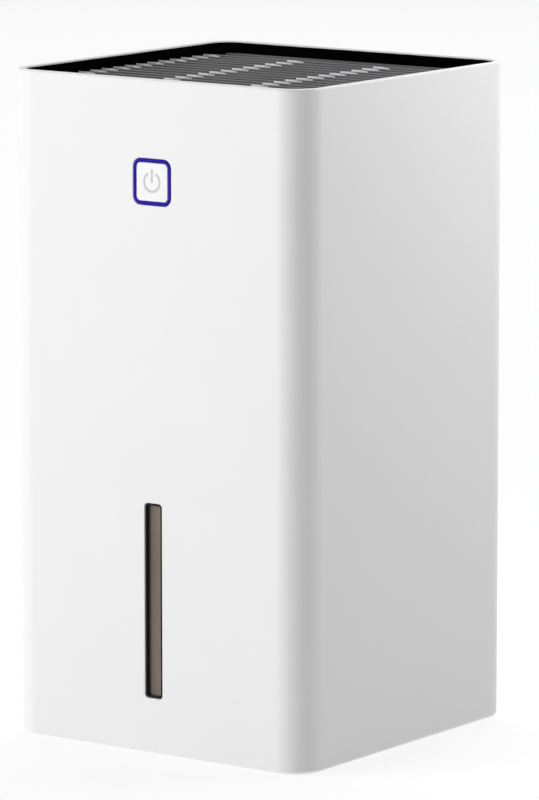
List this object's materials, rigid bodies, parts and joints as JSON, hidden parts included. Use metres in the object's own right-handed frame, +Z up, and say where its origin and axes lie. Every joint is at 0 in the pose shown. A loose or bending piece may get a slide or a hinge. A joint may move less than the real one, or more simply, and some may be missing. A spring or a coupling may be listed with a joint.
{
  "type": "dehumidifier",
  "caption": "Small square-column thermoelectric dehumidifier: top air outlet, front button and water window, rear air inlet and pull-out water tank.",
  "frame": {"origin": "middle of the footprint, on the surface that the rubber feet stand on", "axes": "+Z up; the front with the button and the water window faces -Y; the tank pulls out of the back towards +Y"},
  "size_m": [0.135, 0.135, 0.25],
  "materials": {
    "shell_white": "satin",
    "grille_black": "satin",
    "bar_silver": "satin",
    "tank_smoke": "gloss",
    "lid_grey": "satin",
    "rubber_dark": "matt",
    "steel": "plated",
    "magnet_steel": "nickel plated",
    "foam_white": "closed-cell foam",
    "foam_black": "closed-cell foam",
    "fin_aluminium": "extruded",
    "ceramic_white": "fired",
    "chassis_grey": "satin",
    "fan_black": "satin",
    "coil_copper": "enamelled copper",
    "bearing_brass": "sintered",
    "board_green": "solder mask",
    "part_black": "satin",
    "connector_white": "satin",
    "button_white": "satin",
    "ring_blue": "translucent, lit blue",
    "led_blue": "lit blue",
    "wire_red": "insulation",
    "wire_black": "insulation",
    "wire_white": "insulation"
  },
  "bodies": {
    "housing": {"base_plate": "shell_white", "base_screw_1": "steel", "base_screw_2": "steel", "base_screw_3": "steel", "base_screw_4": "steel", "bottom_connector": "connector_white", "button_cable": "wire_white", "button_led_1": "led_blue", "button_led_2": "led_blue", "button_pcb": "board_green", "clamp_screw_1": "steel", "clamp_screw_2": "steel", "cold_heatsink": "fin_aluminium", "controller_chip": "part_black", "dc_cable": "wire_black", "dc_jack": "part_black", "drip_funnel": "lid_grey", "fan_bearing": "bearing_brass", "fan_cable": "wire_black", "fan_frame": "fan_black", "fan_plate": "chassis_grey", "fan_screw_1": "steel", "fan_screw_2": "steel", "fan_stator": "coil_copper", "grille_bar_1": "bar_silver", "grille_bar_2": "bar_silver", "grille_bar_3": "bar_silver", "grille_bar_4": "bar_silver", "hot_heatsink": "fin_aluminium", "inner_chassis": "chassis_grey", "insulating_gasket": "foam_black", "level_sensor": "part_black", "light_ring": "ring_blue", "main_capacitor": "part_black", "main_pcb": "board_green", "outer_housing": "shell_white", "peltier_module": "ceramic_white", "peltier_wire_black": "wire_black", "peltier_wire_red": "wire_red", "rear_inlet_grille": "shell_white", "rubber_foot_1": "rubber_dark", "rubber_foot_2": "rubber_dark", "rubber_foot_3": "rubber_dark", "rubber_foot_4": "rubber_dark", "sensor_cable": "wire_white", "tact_switch": "part_black", "top_connector": "connector_white", "top_grille": "grille_black", "window_pane": "tank_smoke"},
    "power_button": {"power_button": "button_white", "button_plunger": "part_black"},
    "fan_rotor": {"fan_rotor": "fan_black", "fan_shaft": "steel"},
    "tank": {"water_tank": "tank_smoke", "tank_lid": "lid_grey", "tank_handle_panel": "shell_white", "float_pin": "steel"},
    "float": {"float_arm": "lid_grey", "float_block": "foam_white", "float_magnet": "magnet_steel"}
  },
  "joints": [
    {"name": "button_press", "type": "slide", "parent": "housing", "child": "power_button", "axis": [0, 1, 0], "range_m": [0, 0.0005], "stiffness_N_per_m": 800},
    {"name": "fan_spin", "type": "hinge", "parent": "housing", "child": "fan_rotor", "pos_m": [0, 0.004, 0.2236], "axis": [0, 0, 1], "continuous": true},
    {"name": "tank_pull", "type": "slide", "parent": "housing", "child": "tank", "axis": [0, 1, 0], "range_m": [0, 0.12]},
    {"name": "float_lift", "type": "hinge", "parent": "tank", "child": "float", "pos_m": [0.038, 0.034, 0.096], "axis": [-1, 0, 0], "range_deg": [0, 30]}
  ]
}
